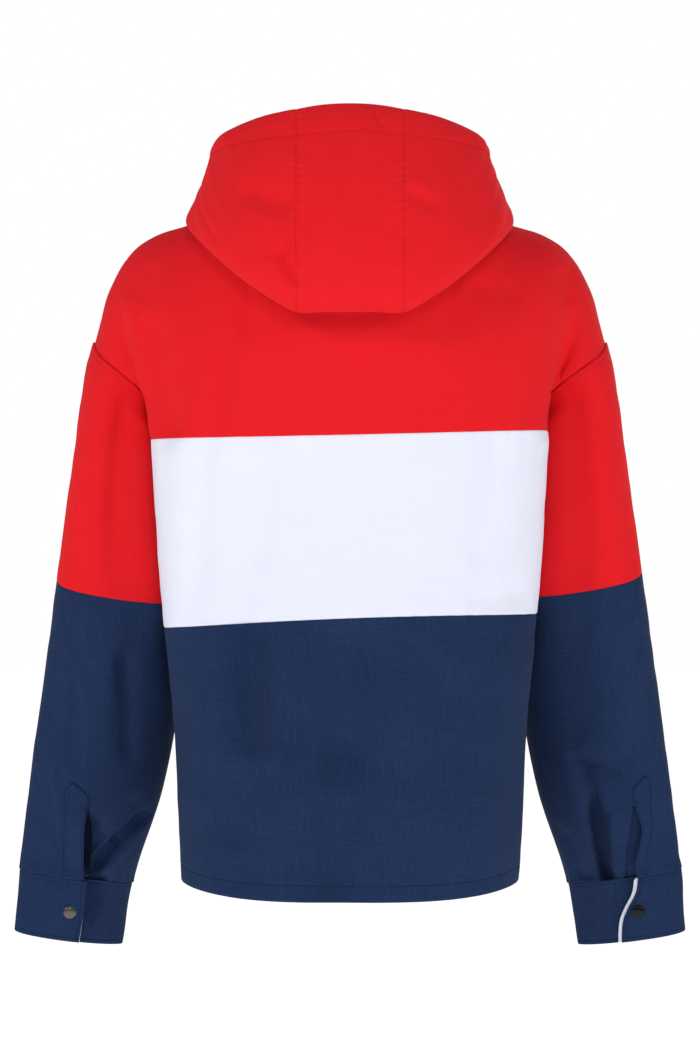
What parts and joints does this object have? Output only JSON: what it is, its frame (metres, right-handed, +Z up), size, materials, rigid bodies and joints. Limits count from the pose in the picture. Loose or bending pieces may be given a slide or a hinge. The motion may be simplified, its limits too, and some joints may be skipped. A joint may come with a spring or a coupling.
{
  "type": "windbreaker jacket",
  "caption": "Hooded hip-length windbreaker jacket in red, white and navy blocks, kept in its worn form with sleeves down and hood back; covers the upper body.",
  "frame": {"origin": "middle of the neck opening, level with the neck ends of the shoulder seams", "axes": "+Z up along the wearer's spine, +Y towards the wearer's front, +X towards the wearer's right"},
  "size_m": [0.6776, 0.3014, 0.8346],
  "materials": {
    "red_cloth": "matt woven",
    "white_cloth": "matt woven",
    "navy_cloth": "matt woven",
    "snap_metal": "dark satin gunmetal"
  },
  "bodies": {
    "root": {"back_yoke": "red_cloth", "back_band": "white_cloth", "back_lower": "navy_cloth", "front_yoke_right": "red_cloth", "front_yoke_left": "red_cloth", "front_band_right": "white_cloth", "front_band_left": "white_cloth", "front_lower_right": "navy_cloth", "front_lower_left": "navy_cloth", "sleeve_upper_right": "red_cloth", "sleeve_upper_left": "red_cloth", "sleeve_lower_right": "navy_cloth", "sleeve_lower_left": "navy_cloth", "placket_right": "navy_cloth", "placket_left": "navy_cloth", "binding_right": "navy_cloth", "binding_left": "navy_cloth", "cuff_right": "navy_cloth", "cuff_left": "navy_cloth", "cuff_facing_right": "white_cloth", "cuff_facing_left": "white_cloth", "snap_cuff_right": "snap_metal", "snap_cuff_left": "snap_metal", "hood_right": "red_cloth", "hood_left": "red_cloth", "hood_centre": "red_cloth", "snap_front_1": "snap_metal", "snap_front_2": "snap_metal", "snap_front_3": "snap_metal", "snap_front_4": "snap_metal", "snap_front_5": "snap_metal", "snap_front_6": "snap_metal"}
  },
  "joints": []
}
